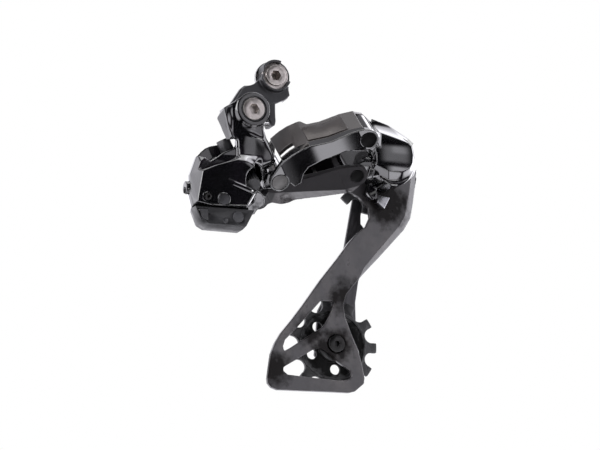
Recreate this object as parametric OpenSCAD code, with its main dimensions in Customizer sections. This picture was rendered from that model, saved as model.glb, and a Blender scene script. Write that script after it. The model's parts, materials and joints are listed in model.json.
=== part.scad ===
/* [Hanger and bracket link] */
// Radius of the hanger bolt's M10 thread
hanger_thread_r = 5; // [4.5:0.1:5.1]
// Length of thread that stands inboard of the hanger face
hanger_thread_len = 9; // [6:0.5:12]
// Fore and aft place of the knuckle axle
b_axle_x = -14.1; // [-14.6:0.1:-13.6]
// Height of the knuckle axle
b_axle_z = -20.4; // [-20.9:0.1:-19.9]
// Radius of the knuckle's round boss
b_boss_r = 9; // [8.6:0.1:9.2]

/* [Parallelogram] */
// Tilt of the four link pins out of the horizontal, in degrees
link_tilt = 40; // [39:0.5:41]
// Distance between the two pins of a link
link_len = 50.8; // [50:0.1:51.5]
// Angle of the links in their own plane in the smallest sprocket
link_rest = -34; // [-35:0.5:-33]
// Radius of the link pins
pin_r = 2; // [1.8:0.1:2.1]
// Radial clearance of every running fit
run_gap = 0.05; // [0.02:0.01:0.08]

/* [Pulleys] */
// Number of teeth on each pulley
pulley_teeth = 11; // [11:1:11]
// Chain pitch
chain_pitch = 12.7; // [12.7:0.1:12.8]
// Thickness of the pulley teeth
tooth_w = 2.3; // [2:0.1:2.4]
// Inboard place of the pulleys' middle plane
pulley_y = 10; // [9.8:0.1:10.2]

/* [Cage] */
// Thickness of the outer cage plate
outer_plate_t = 2.7; // [2.4:0.1:2.8]
// Thickness of the inner cage plate
inner_plate_t = 2; // [1.6:0.1:2.4]
// Drop from the cage pivot to the tension pulley
cage_drop = 91.2; // [90.5:0.1:91.9]

/* [Hidden] */
$fn = 64;
p1 = [1.9, 37.2];
pin_step = [-3.3, 18.8];
link_vector = link_len * [cos(link_rest), sin(link_rest)];
p2 = p1 + pin_step;
p3 = p1 + link_vector;
p4 = p2 + link_vector;
b_axle = [b_axle_x, b_axle_z];
p_axle_at = [62.4, -45.8];
guide_at = p_axle_at + [-1.5, 4.2];
tension_at = p_axle_at + [-24.5, -cage_drop];
pitch_r = chain_pitch / (2 * sin(180 / pulley_teeth));
root_r = pitch_r - 3.84;
tip_r = pitch_r + 1.75;
plate_y = 3.5;
outer_in_y = plate_y + outer_plate_t;
inner_y = 13.8;
bearing_out_r = 6.5;
bearing_in_r = 4.2;
pulley_bolt_r = 2.5;

// Layers along the link pins, from the outboard side inwards
arm_w = -44.3;
arm_t = 3;
arm_in_w = arm_w + arm_t;
ear1_w = -20.5;
ear1_end = -18;
ear3_w = -25;
ear3_end = -22.5;
low_arm_w = -30.3;
low_arm_end = -27.3;
case_w = -27;
gear_w = -23.2;
gear_end = -20.2;
case_end = -19.8;
lid_end = -17.2;
low_inner_w = -16;
low_inner_end = -13.4;
low4_w = -49.3;
low4_end = -46.3;
low4_inner_w = -29.5;
low4_inner_end = -27;

axle_r = 3.8;
lower_boss_r = 6.6;
screw_z = b_axle_z - 6.2;
spring_at = [-13.4, 36];
wire_port_at = [-24.4, -3.6, -41.4];
wire_port_tilt = 26.1;
limit_screw_at = [-38.5, -68.3];
plug_at = [-29.7, -69];
button_at = [-21.4, -77.3];
lens_at = [-28.2, -79.6];

// Actuator gears
gear_m = 0.7;
gear_z = 30;
pinion_z = 10;
gear_pitch_r = gear_m * gear_z / 2;
pinion_pitch_r = gear_m * pinion_z / 2;
mesh_angle = 215;
motor_at = p2 + (gear_pitch_r + pinion_pitch_r) * [cos(mesh_angle), sin(mesh_angle)];
motor_r = 6;
motor_w = -47.5;

// ---- Helpers ----

// Cylinder along +Y from y0 to y1 at a place [x, z]
module rod_y(at, r, y0, y1) {
    translate([at[0], y0, at[1]]) rotate([-90, 0, 0]) cylinder(r = r, h = y1 - y0);
}

// Extrudes an outline drawn in X and Z from y0 to y1
module slab_y(y0, y1) {
    translate([0, y1, 0]) rotate([90, 0, 0]) linear_extrude(y1 - y0) children();
}

// Frame whose Z runs inwards along the link pins and whose X is the part's X
module link_frame() {
    rotate([link_tilt - 90, 0, 0]) children();
}

// Frame along a link, with X from its first pin to its second
module along_link(pin) {
    link_frame() translate([pin[0], pin[1], 0]) rotate(link_rest) children();
}

// Cylinder along a link pin between two layers
module pin_rod(at, r, w0, w1) {
    translate([at[0], at[1], w0]) cylinder(r = r, h = w1 - w0);
}

// Flat ring along +Y
module ring_y(at, r_out, r_in, y0, y1) {
    difference() {
        rod_y(at, r_out, y0, y1);
        rod_y(at, r_in, y0 - 1, y1 + 1);
    }
}

// Six-sided key hole, cut along +Z
module hex_key(across, depth) {
    cylinder(r = across / (2 * cos(30)), h = depth, $fn = 6);
}

// Coil of round wire along +Z, as stacked closed rings joined in one piece
module coil(mean_r, wire_r, length) {
    turns = floor(length / (1.7 * wire_r));
    pitch = (length - 2 * wire_r) / (turns - 1);
    for (i = [0:turns - 1])
        translate([0, 0, wire_r + i * pitch]) rotate_extrude() translate([mean_r, 0]) circle(wire_r, $fn = 16);
}

// Points of an arc about a centre
function arc(c, r, a0, a1, steps) = [for (i = [0:steps]) c + r * [cos(a0 + (a1 - a0) * i / steps), sin(a0 + (a1 - a0) * i / steps)]];

// ---- Bracket link: fixed to the hanger ----

module bracket_link() {
    body_y0 = -9.5;
    body_y1 = -2;
    eye_y0 = -6;
    color("dimgray") difference() {
        union() {
            rod_y([0, 0], 8.4, body_y0, body_y1);
            rod_y(b_axle, 8.6, eye_y0, -0.6);
            slab_y(eye_y0, body_y1) polygon(concat(
                [[7.5, -3.5], [8.7, -9.4], [6, -11.7], [-0.1, -14.8], [-4.6, -20.4]],
                arc(b_axle, 8.6, 0, -180, 10),
                [[-22.2, -16.5], [-17, -7.5], [-12.7, -4.4], [-8.3, -1.7]]));
            slab_y(-5.5, -2.2) polygon([[-15.5, -5.4], [-18.3, -7.8], [-24.4, -17.4], [-23, -18.4],
                [-16.8, -10.2], [-13, -8]]);
            slab_y(-11.4, body_y1) polygon(concat(
                [[-1.2, -14.8], [-1.2, -20], [-0.9, -25.2], [-1.4, -27.4], [-3.4, -27.6]],
                arc(b_axle, b_boss_r + 0.8, -22, 22, 6)));
        }
        rod_y([0, 0], 7.15, body_y0 - 1, -4);
        rod_y([0, 0], hanger_thread_r + run_gap, -5, 0);
        slab_y(body_y0 - 1, -6.5) polygon([[1.5, 0], [3.5, 12], [12, 12], [12, -4], [8.6, -3]]);
        rod_y([0, 0], 6.6, -3, 0);
        rod_y(b_axle, 3.62, -7, 0);
        slab_y(-7, -1.9) polygon([[-16.4, -9.8], [-21.6, -17.2], [-20.4, -17.6], [-18.2, -13.4]]);
    }
}

module mount_bolt() {
    color("darkgray") difference() {
        union() {
            rod_y([0, 0], 7, -7.6, -4.05);
            rod_y([0, 0], 5.3, -9, -7.5);
            rod_y([0, 0], hanger_thread_r, -4.1, -2.7);
            rod_y([0, 0], 4.4, -2.8, -2);
            rod_y([0, 0], hanger_thread_r - 0.3, -2.1, 0.1);
            rod_y([0, 0], hanger_thread_r, 0, hanger_thread_len - 0.8);
            rod_y([0, 0], hanger_thread_r - 0.8, hanger_thread_len - 0.9, hanger_thread_len);
        }
        translate([0, -9.5, 0]) rotate([-90, 0, 0]) hex_key(5, 6);
    }
}

module mount_clip() {
    color("silver") difference() {
        ring_y([0, 0], 6.4, 4.45, -2.7, -2.15);
        slab_y(-3, -2) polygon([[-0.9, 0], [-2, -8], [2, -8], [0.9, 0]]);
    }
}

module hanger_stop() {
    color("gray") difference() {
        union() {
            rod_y([0, 0], 8.9, -1.95, 0);
            slab_y(-1.95, 0) polygon([[6, -6], [9.6, -3.4], [9.2, -9.6], [6.6, -11.9], [1, -8.6]]);
            slab_y(-0.1, 4.2) polygon([[9.6, -3.4], [9.2, -9.6], [7.2, -8.9], [7.9, -4.1]]);
        }
        rod_y([0, 0], hanger_thread_r + 0.15, -3, 1);
    }
}

module b_axle() {
    color("darkgray") difference() {
        union() {
            rod_y(b_axle, 5.7, -15, -12.6);
            rod_y(b_axle, axle_r, -12.7, -6.1);
            rod_y(b_axle, 3.6, -6.2, -0.8);
        }
        translate([b_axle[0], -15.6, b_axle[1]]) rotate([-90, 0, 0]) hex_key(5, 4);
    }
}

// ---- B-knuckle: carries the motor and the fixed ends of the links ----

// Outline of the motor housing seen from the outboard side
housing_outline = [[-46.2, -56], [-42.3, -44.8], [-38, -40.8], [-31.8, -37.6], [-22.9, -35.4], [-12, -42],
    [-9.5, -56], [-11.5, -68], [-17, -72.6], [-36, -72.9], [-44.6, -72], [-46.2, -66]];
front_outline = [[-41.3, -55], [-22, -47], [-14, -52], [-13.2, -64], [-17.5, -71.8], [-35.8, -72.4], [-43.6, -71]];

// Outline of the housing's inboard opening
cover_opening = [[-40.2, -56.2], [-37.2, -46.2], [-31, -39.9], [-24, -38.8], [-22.4, -44], [-22.4, -70.6],
    [-35, -71.5], [-39.2, -70.6]];
// The housing narrows at its left towards the wheel
back_outline = [for (p = housing_outline) p[0] < -35 ? p + [4.6, 0] : p];

module housing_block() {
    hull() {
        slab_y(-14, -13) polygon(front_outline);
        slab_y(-8, -5) polygon(housing_outline);
        slab_y(9.5, 11) polygon(back_outline);
    }
}

// Neck from the round boss down to the housing and the upper link pin
module neck_block() {
    hull() {
        slab_y(-13.5, -6.5) polygon([[-22.5, -23], [-8.3, -27.4], [-6.8, -33.6], [-21.5, -36]]);
        slab_y(-12, -1) polygon([[-23.2, -35.6], [-6.2, -34.5], [-5.5, -45], [-12, -50], [-22, -46]]);
    }
}

// Side of the neck that flares towards the upper link pin
flare = [[-14, -28.4], [-7.3, -28.8], [-6.4, -32.6], [-3.6, -36.2], [-1.4, -41.2], [0.4, -44.8], [-1, -48], [-7, -51],
    [-13, -46]];

module neck_flare() {
    slab_y(-10.3, -6.8) polygon(flare);
    slab_y(-12.6, -10.2) polygon([for (p = flare) p - [1.8, 0]]);
}

// Front wall beside the recess, with its rounded inner corner
module recess_lip() {
    slab_y(-13.9, -11.4) polygon([[-22.4, -34], [-21.4, -38], [-20.9, -42], [-21.4, -45.2], [-23.2, -47.6],
        [-26.4, -49.2], [-34, -51.7], [-40.6, -54.6], [-38, -58], [-30, -56], [-20, -52], [-14.5, -44], [-14, -34]]);
}

module wing_block() {
    slab_y(-14, -6.4) polygon([[-30.2, -20.9], [-20.5, -14.4], [-17, -24], [-24.5, -36.5], [-25.8, -36]]);
}

module pin_support() {
    hull() {
        link_frame() pin_rod(p1, 4.9, arm_in_w + 0.2, ear1_w - 0.2);
        link_frame() translate([-5, 35, arm_in_w + 1]) cube([1, 9, 18]);
    }
    hull() {
        link_frame() translate([-5, 35, arm_in_w + 1]) cube([1, 9, 18]);
        slab_y(-11, 10) polygon([[-12, -40], [-8, -40], [-8, -56], [-12, -56]]);
    }
}

// Part of a disc about the lower pivot which the toothed sector sweeps through
module sweep(r, margin, w0, w1) {
    translate([0, 0, w0]) linear_extrude(w1 - w0)
        polygon(concat([p2], arc(p2, r, mesh_angle - 94 - margin, mesh_angle + 92 + margin, 30)));
}

module gear_case() {
    link_frame() hull() {
        sweep(12.6, 3, case_w, case_end);
        pin_rod(p2, lower_boss_r, case_w, case_end);
        pin_rod(motor_at, 8, case_w, case_end);
    }
    link_frame() pin_rod(motor_at, 7.4, motor_w - 1.4, case_w + 1);
}

module b_knuckle() {
    color("black") difference() {
        union() {
            rod_y(b_axle, b_boss_r, -14.5, -6.2);
            wing_block();
            neck_block();
            neck_flare();
            housing_block();
            // lug around the rear screw
            translate([-48.4, -5.6, -62.6]) rotate([0, 90, 0]) cylinder(r = 3.3, h = 4);
            recess_lip();
            pin_support();
            gear_case();
        }
        // axle bore with its bush and seal seats
        rod_y(b_axle, 6.4, -16, -12.4);
        rod_y(b_axle, 4.72, -13, -5);
        // room for the bracket link's eye
        rod_y(b_axle, 9.2, -6.1, 4);
        // hollow for the electronics, open inboard
        slab_y(-9.8, 8.9) polygon([[-39.8, -57], [-38.4, -51.8], [-35, -50.4], [-25, -46.2],
            [-24.6, -69.6], [-39, -69.4]]);
        slab_y(8.8, 13) polygon(cover_opening);
        // front of the recess, down to its lip
        slab_y(-15, -10.9) polygon([[-46, -47.5], [-41.9, -55], [-40.6, -54.5], [-34, -51.6], [-26.4, -49.1],
            [-23.3, -47.5], [-21.5, -45.2], [-21, -42], [-21.5, -38], [-22.6, -36.9], [-26.4, -37.1],
            [-32, -32], [-46, -36]]);
        // connector recess in the top
        slab_y(-11, 3) polygon([[-39.9, -46.9], [-45.5, -44.9], [-40, -35], [-20, -30], [-19.9, -39.3],
            [-29.4, -43.95], [-36, -49]]);
        // motor and gear train
        link_frame() {
            pin_rod(motor_at, motor_r + run_gap, motor_w, case_end + 0.1);
            sweep(12, 0, gear_w - 0.3, case_end + 1);
            pin_rod(p2, 5.2, gear_w - 0.3, case_end + 1);
            // room for the gear lid
            pin_rod(p2, 13, case_end + 0.05, lid_end + 3);
            pin_rod(motor_at, 8.4, case_end + 0.05, lid_end + 3);
            pin_rod(p2, 3.1, case_w - 1, gear_w);
            pin_rod(p1, 2.9, arm_in_w - 1, ear1_w);
            // room for the lower link's outer arm
            pin_rod(p2, 8, low_arm_w - 25, case_w - 0.05);
            // pocket of the return spring
            pin_rod(spring_at, 5.2, -60, -33.6);
        }
        // seats of the screws
        rod_y(limit_screw_at, 1.9, -15, -11);
        rod_y(plug_at, 3, -15, -12.9);
        translate([-50, -5.6, -64.2]) rotate([0, 90, 0]) cylinder(r = 1.9, h = 5);
        translate([-32, -10.2, screw_z]) rotate([0, 90, 0]) cylinder(r = 1.22, h = 30);
    }
}

module b_bush() {
    color("goldenrod") ring_y(b_axle, 4.7, axle_r + run_gap, -12.3, -6.4);
}

module b_seal() {
    color("black") ring_y(b_axle, 6.36, 5.8, -14.7, -12.8);
}

module end_adjust_screw() {
    color("silver") translate([-28.9, -10.2, screw_z]) rotate([0, 90, 0]) difference() {
        cylinder(r = 1.2, h = 24.2);
        translate([0, 0, -0.1]) hex_key(1.5, 2);
    }
}

module housing_cover() {
    color("black") slab_y(9, 10.6) polygon([[-40, -56.3], [-37, -46.4], [-30.9, -40.2], [-24.1, -39],
        [-22.6, -44], [-22.6, -70.4], [-34.9, -71.3], [-39, -70.4]]);
}

module cover_screws() {
    places = [[-36.6, -55], [-36.6, -67], [-26, -67], [-27, -44.5]];
    color("silver") for (p = places)
        difference() {
            rod_y(p, 1.5, 10.6, 11.6);
            translate([p[0], 12, p[1]]) rotate([90, 0, 0]) hex_key(1.3, 1);
        }
}

module gear_case_lid() {
    color("black") link_frame() difference() {
        hull() {
            sweep(12.4, 3, case_end + 0.1, lid_end);
            pin_rod(p2, lower_boss_r - 0.2, case_end + 0.1, lid_end);
            pin_rod(motor_at, 7.8, case_end + 0.1, lid_end);
        }
        pin_rod(p2, 3.1, case_end - 1, lid_end + 1);
    }
}

module motor() {
    color("silver") link_frame() difference() {
        union() {
            pin_rod(motor_at, motor_r, motor_w + 0.2, case_w + 1);
            pin_rod(motor_at, 2.2, case_w + 0.9, gear_w - 0.5);
        }
        pin_rod(motor_at, 1 + run_gap, motor_w + 4, gear_w);
    }
}

// Outline of a straight-sided gear tooth that points along +X
function tooth(teeth, pitch_radius) =
    let (root = pitch_radius - 1.25 * gear_m, tip = pitch_radius + 0.55 * gear_m, half = 90 / teeth)
    [[root - 0.7, -root * sin(half)], [tip, -tip * sin(0.4 * half)], [tip, tip * sin(0.4 * half)],
        [root - 0.7, root * sin(half)]];

// Gear teeth number first to last, standing on a core of any outline
module teeth_ring(teeth, pitch_radius, first, last) {
    translate([0, 0, gear_w]) linear_extrude(gear_end - gear_w) union() {
        children();
        for (i = [first:last])
            rotate(i * 360 / teeth) polygon(tooth(teeth, pitch_radius));
    }
}

module motor_pinion() {
    color("goldenrod") link_frame() translate([motor_at[0], motor_at[1], 0]) {
        rotate(mesh_angle + 180 + 180 / pinion_z)
            teeth_ring(pinion_z, pinion_pitch_r, 0, pinion_z - 1) circle(pinion_pitch_r - 1.25 * gear_m);
        translate([0, 0, motor_w + 4.3]) cylinder(r = 1, h = gear_w - motor_w - 4.2);
    }
}

// Toothed sector on the lower link's pin
module drive_gear() {
    core_r = gear_pitch_r - 1.25 * gear_m;
    first = -7;
    last = 1;
    step = 360 / gear_z;
    color("goldenrod") link_frame() translate([p2[0], p2[1], 0]) difference() {
        rotate(mesh_angle) teeth_ring(gear_z, gear_pitch_r, first, last) union() {
            circle(4.6);
            polygon(concat([[0, 0]], arc([0, 0], core_r, (first - 0.6) * step, (last + 0.6) * step, 16)));
        }
        translate([0, 0, gear_w - 1]) cylinder(r = pin_r + 0.02, h = 6);
    }
}

module circuit_board() {
    color("darkgreen") slab_y(4, 5.2) polygon([[-39.2, -57.2], [-37.8, -52.6], [-35, -51.4], [-25.4, -47.2],
        [-25.4, -68.8], [-38.6, -68.6]]);
}

module wire_port() {
    color("black") translate(wire_port_at) rotate([0, -wire_port_tilt, 0]) difference() {
        cylinder(r = 3.6, h = 6.6);
        translate([0, 0, 1.6]) cylinder(r = 2.5, h = 8);
    }
}

module limit_screw() {
    color("silver") difference() {
        rod_y(limit_screw_at, 1.85, -14.3, -12);
        translate([limit_screw_at[0], -14.5, limit_screw_at[1]]) rotate([-90, 0, 0]) hex_key(2, 1.6);
    }
}

module front_plug() {
    color("dimgray") rod_y(plug_at, 2.95, -14.2, -12.95);
}

module rear_screw() {
    color("silver") translate([-47.8, -5.6, -64.2]) rotate([0, 90, 0]) difference() {
        cylinder(r = 1.85, h = 2.75);
        translate([0, 0, -0.1]) hex_key(2, 1.6);
    }
}

// Cover under the housing, with the button, the lens and the charging port
module lower_cover() {
    color("dimgray") difference() {
        hull() {
            slab_y(-11.5, -4) polygon([[-44.4, -73.1], [-12.5, -73.1], [-16.8, -81.6], [-36.6, -81.8], [-41.4, -79.8]]);
            slab_y(3, 4) polygon([[-42, -73.1], [-12.5, -73.1], [-16.8, -81.6], [-34.6, -81.8], [-39.4, -79.8]]);
            slab_y(-9, 0) polygon([[-40, -81.4], [-37, -83], [-18, -83.2], [-16, -78.5]]);
        }
        rod_y(button_at, 2.95, -12, -8);
        rod_y(lens_at, 1.5, -12, -9.5);
        slab_y(-12, -9.8) polygon([[-43.6, -74], [-37.2, -74], [-37.2, -80.6], [-40.6, -79.4]]);
        rod_y([-38.6, -77.2], 1.9, -12, -2);
        // room for the motor's barrel
        link_frame() pin_rod(motor_at, 7.5, motor_w - 1.5, case_w);
    }
}

module flap_pin() {
    color("silver") translate([-42.3, -10.9, -74.9]) rotate([0, 90, 0]) cylinder(r = 0.4, h = 4.8);
}

module port_flap() {
    color("dimgray") difference() {
        slab_y(-11.5, -10.3) polygon([[-42.4, -74.35], [-37.4, -74.35], [-37.4, -80.3], [-40.6, -79.2]]);
        translate([-43.4, -10.9, -74.9]) rotate([0, 90, 0]) cylinder(r = 0.45, h = 6.2);
    }
}

module mode_button() {
    color("gray") rod_y(button_at, 2.85, -12.2, -9.2);
}

module status_lens() {
    color("white") rod_y(lens_at, 1.48, -11.7, -9.6);
}

module b_link_bushes() {
    color("goldenrod") link_frame() {
        for (w = [arm_in_w + 0.4, ear1_w - 4.4])
            difference() {
                pin_rod(p1, 2.88, w, w + 4);
                pin_rod(p1, pin_r + run_gap, w - 1, w + 5);
            }
        difference() {
            pin_rod(p2, 3.08, case_w + 0.1, gear_w - 0.2);
            pin_rod(p2, pin_r + run_gap, case_w - 1, gear_w + 1);
        }
        difference() {
            pin_rod(p2, 3.08, gear_end + 0.2, lid_end);
            pin_rod(p2, pin_r + run_gap, gear_end - 1, lid_end + 1);
        }
    }
}

module return_spring() {
    color("silver") link_frame() union() {
        translate([spring_at[0], spring_at[1], -43]) coil(4.3, 0.55, 9.3);
        pin_rod(spring_at, 3.4, -43.6, -33.65);
    }
}

// ---- Upper link: the arm seen outboard and its web over the top ----

arm_outline = [[-3.4, -4.6], [5.5, -10.4], [11, -12.1], [16, -12.9], [22, -12.7], [32.4, -9.8], [43.6, -8.7],
    [50.8, -6.8], [54, -4.8], [55.8, -1.5], [55.4, 2], [52.6, 5], [48, 4.6], [37.6, -0.5], [24.9, -2.1],
    [16.8, -1.6], [12.9, 1], [9.8, 5.4], [6, 6], [4.6, 3]];

module outer_link() {
    web_in = [[6, -8.2], [11, -9.9], [16, -10.6], [22, -10.4], [32.4, -7.6], [43.6, -6.6], [50.8, -5.4]];
    web_out = [for (i = [1:7]) arm_outline[i]];
    color("black") along_link(p1) difference() {
        union() {
            translate([0, 0, arm_w]) linear_extrude(arm_t) polygon(arm_outline);
            pin_rod([0, 0], 5.3, arm_w, arm_in_w);
            pin_rod([link_len, 0], 5.5, arm_w, arm_in_w);
            difference() {
                translate([0, 0, arm_w]) linear_extrude(ear1_end - arm_w)
                    polygon(concat(web_out, [for (i = [6:-1:0]) web_in[i]]));
                translate([26, -20, ear3_end]) cube([40, 40, 20]);
                translate([26, -20, ear3_end]) rotate([0, -28, 0]) cube([40, 40, 20]);
                translate([6, -20, -39.5]) cube([8.5, 40, 5]);
            }
            translate([0, 0, ear1_w]) linear_extrude(ear1_end - ear1_w)
                polygon([[-3.4, -3.6], [-2.8, -4.4], [6, -9.6], [8, -9.6], [4, -1]]);
            pin_rod([0, 0], 4.6, ear1_w, ear1_end);
            translate([0, 0, ear3_w]) linear_extrude(ear3_end - ear3_w)
                polygon([[40, -8], [50.8, -6.4], [54.6, -3.4], [54, 2], [49, 2]]);
            pin_rod([link_len, 0], 4.6, ear3_w, ear3_end);
        }
        // pin bores with the seats of their heads
        for (s = [0, link_len]) {
            pin_rod([s, 0], pin_r + 0.02, arm_w - 1, ear1_end + 1);
            pin_rod([s, 0], 4.25, arm_w - 1, arm_w + 1.1);
        }
    }
}

module outer_link_pins() {
    color("gray") link_frame() {
        pin_rod(p1, 4.2, arm_w - 0.1, arm_w + 1.05);
        pin_rod(p1, pin_r, arm_w + 1, ear1_end);
        pin_rod(p3, 4.2, arm_w - 0.1, arm_w + 1.05);
        pin_rod(p3, pin_r, arm_w + 1, ear3_end);
    }
}

// Thin trim plate stuck on the web
module name_plate() {
    color("rosybrown") along_link(p1) translate([0, 0, -40]) linear_extrude(14)
        polygon([[22.3, -12.8], [32.45, -10], [43.6, -8.8], [43.6, -9.2], [32.35, -10.4], [22.2, -13.2]]);
}

// ---- Lower link: an open channel, driven by the motor ----

module inner_link() {
    outline = [[-4, -3], [10, -5.4], [18, -6.6], [25, -7.3], [44.4, -8.8], [49.5, -6.9], [55, -4], [56.2, 0],
        [55, 4], [50, 6.1], [42, 8.6], [28, 9], [14, 7.9], [6, 4.3], [-3, 4]];
    color("dimgray") along_link(p2) difference() {
        union() {
            intersection() {
                translate([0, 0, -60]) linear_extrude(60) polygon(outline);
                rotate([90, 0, 0]) translate([0, 0, -20]) linear_extrude(40) polygon([
                    [-6, low_arm_w], [5, low_arm_w], [10, -33.6], [42.5, low4_w], [60, low4_w],
                    [60, low4_end], [43.4, low4_end], [13, -31.2], [9, low_arm_end], [-6, low_arm_end]]);
            }
            pin_rod([0, 0], 5.2, low_arm_w, low_arm_end);
            pin_rod([link_len, 0], 5.7, low4_w, low4_end);
            intersection() {
                translate([0, 0, -60]) linear_extrude(60) polygon([[14.6, 5.6], [14.6, 7.9], [28, 9], [41.5, 8.6],
                    [41.5, 6.4], [28, 6.8]]);
                rotate([90, 0, 0]) translate([0, 0, -20]) linear_extrude(40) polygon([
                    [13, -33], [42, -48], [42, -27], [13, -16]]);
            }
            intersection() {
                translate([0, 0, -60]) linear_extrude(60)
                    polygon([[-3, -4], [20, -4.6], [45, -4.4], [52, -4], [52, 4], [46, 7.2], [28, 9], [14, 7.9], [-3, 4]]);
                rotate([90, 0, 0]) translate([0, 0, -20]) linear_extrude(40) polygon([
                    [-5, low_inner_w], [13.5, low_inner_w], [43, low4_inner_w], [57, low4_inner_w],
                    [57, low4_inner_end], [43.6, low4_inner_end], [14, low_inner_end], [-5, low_inner_end]]);
            }
            pin_rod([0, 0], 5, low_inner_w, low_inner_end);
            pin_rod([link_len, 0], 5, low4_inner_w, low4_inner_end);
            for (s = [20, 26, 32])
                intersection() {
                    translate([s, -1, -60]) cube([1.6, 9, 60]);
                    rotate([90, 0, 0]) translate([0, 0, -20]) linear_extrude(40) polygon([
                        [13, -32.5], [42, -47], [42, -28.5], [13, -15]]);
                }
        }
        pin_rod([0, 0], pin_r + 0.02, low_arm_w - 1, low_inner_end + 1);
        pin_rod([link_len, 0], pin_r + 0.02, low4_w - 1, low4_inner_end + 1);
        pin_rod([link_len, 0], 3.55, low4_w - 1, low4_w + 1);
    }
}

module inner_link_pins() {
    color("gray") link_frame() {
        pin_rod(p2, pin_r, low_arm_w - 0.3, low_inner_end + 0.3);
        pin_rod(p4, 3.5, low4_w - 0.1, low4_w + 0.95);
        pin_rod(p4, pin_r, low4_w + 0.9, low4_inner_end + 0.3);
    }
}

// ---- P-knuckle: carries the cage pivot ----

module p_knuckle() {
    color("black") difference() {
        union() {
            rod_y(p_axle_at, 10, -20, 3);
            hull() {
                rod_y(p_axle_at, 9.4, -22, -8);
                rod_y(p_axle_at, 10, -20.5, -1);
                link_frame() pin_rod(p3, 5, arm_in_w + 0.3, ear3_w - 0.3);
                slab_y(-22, -21) polygon([[55, -30.5], [70.6, -33.6], [72, -37.5], [62, -42]]);
                slab_y(-17, -9) polygon([[52, -22.2], [64, -26.4], [73.2, -32], [73.8, -36], [60, -42]]);
            }
            hull() {
                link_frame() pin_rod(p4, 4.9, low4_end + 0.3, low4_inner_w - 0.3);
                rod_y([58, -44], 6, -20, -4);
            }
            slab_y(-3, 2.9) polygon([[55, -50], [52.6, -57], [55.6, -60.4], [58, -60.2], [58, -55]]);
        }
        link_frame() {
            // room for the upper link's arm and far ear
            translate([0, -30, -80]) cube([p3[0] + 6.3, p3[1] + 12.5 + 30, 80 + arm_in_w + 0.25]);
            translate([0, -30, ear3_w - 0.25]) cube([p3[0] + 5.6, p3[1] + 8 + 30, 30]);
            // room for the lower link's fork
            translate([0, -30, -80]) cube([p4[0] + 6.4, 120, 80 + low4_end + 0.25]);
            translate([0, p4[1] - 6.2, low4_inner_w - 0.25]) cube([p4[0] + 6.2, 40, 30]);
            pin_rod(p3, 2.9, -60, -10);
            pin_rod(p4, 2.9, -60, -10);
        }
        rod_y(p_axle_at, 6.6, -15, 4);
        rod_y(p_axle_at, 3.2, -19.4, -14.9);
    }
}

module p_link_bushes() {
    color("goldenrod") link_frame() {
        for (w = [arm_in_w + 0.4, ear3_w - 4.4])
            difference() {
                pin_rod(p3, 2.88, w, w + 4);
                pin_rod(p3, pin_r + run_gap, w - 1, w + 5);
            }
        for (w = [low4_end + 0.4, low4_inner_w - 4.4])
            difference() {
                pin_rod(p4, 2.88, w, w + 4);
                pin_rod(p4, pin_r + run_gap, w - 1, w + 5);
            }
    }
}

module p_bush() {
    color("goldenrod") ring_y(p_axle_at, 6.58, 4 + run_gap, -1.6, 2.4);
}

module p_spring() {
    color("silver") translate([p_axle_at[0], -13.6, p_axle_at[1]]) rotate([-90, 0, 0]) coil(5.3, 0.6, 11.6);
}

module p_seal() {
    color("black") ring_y(p_axle_at, 9.2, 8.5, 3.02, 3.4);
}

module bumper() {
    color("black") slab_y(-2.6, 2.5) polygon([[58.02, -59.4], [58.02, -56], [59, -56.2], [59, -59.5]]);
}

module p_axle() {
    color("silver") union() {
        rod_y(p_axle_at, 3.15, -19, -14);
        rod_y(p_axle_at, 4, -14.1, 3.3);
        rod_y(p_axle_at, 8, 3.25, 4.6);
    }
}

// ---- Cage ----

outer_plate_outline = concat(
    arc(p_axle_at, 21.4, 205, 0, 16),
    [[82, -58], [80.4, -67.1], [76.6, -73.7], [62.7, -89.1], [49.9, -102.6], [43.4, -110.5], [41.7, -116.2],
    [42.9, -123.1], [46, -130.9], [49.9, -139.6], [52.1, -147.5], [53.5, -154.1], [53.2, -157],
    [48.3, -161.3], [44.9, -162.3], [23.8, -162.6], [5.5, -162.9], [2.2, -161.8], [0.3, -159.6], [0, -157.2],
    [0.8, -151.2], [1.8, -144.3], [3.9, -138.7], [7.2, -133.1], [12.7, -126.4], [18.3, -119],
    [29.2, -103.6], [38.6, -91.6], [44.8, -83], [49.6, -77.6], [54.6, -73.5], [56.6, -69],
    [56, -63.6], [51, -58.6]]);

module outer_plate() {
    color("dimgray") difference() {
        slab_y(plate_y, outer_in_y) polygon(outer_plate_outline);
        // openings beside and below the tension pulley's hub
        slab_y(0, 10) polygon([[37, -114.9], [34.8, -121.5], [30.6, -128.4], [22.6, -133.6], [12.4, -140.6],
            [9.2, -142.4], [8.6, -140], [9.7, -136.6], [14.6, -131.6], [23.4, -121.6], [29.4, -114.8]]);
        slab_y(0, 10) polygon([[10.9, -149.6], [20.2, -143.9], [25.4, -140.6], [29, -139.9], [33, -141.6],
            [42.4, -149.6], [43.6, -152.6], [42.3, -155.3], [39, -156.2], [11.2, -154.6], [8.8, -152.8], [8.9, -150.9]]);
        rod_y(p_axle_at, 8.05, plate_y - 1, 4.65);
        rod_y(guide_at, pulley_bolt_r, 4.9, 10);
        rod_y(tension_at, pulley_bolt_r + 0.02, 0, 10);
        rod_y(tension_at, 5, 0, 5.05);
    }
}

inner_plate_outline = concat(
    arc(guide_at, 9.6, 200, -20, 10),
    [[71, -62], [66, -74], [54.2, -101], [52.4, -112.6], [52.8, -128], [52.2, -138], [48.6, -144]],
    arc(tension_at, 9.6, -50, -150, 6),
    [[31.5, -118], [40.5, -101], [46.1, -84.7], [51, -58]]);

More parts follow.
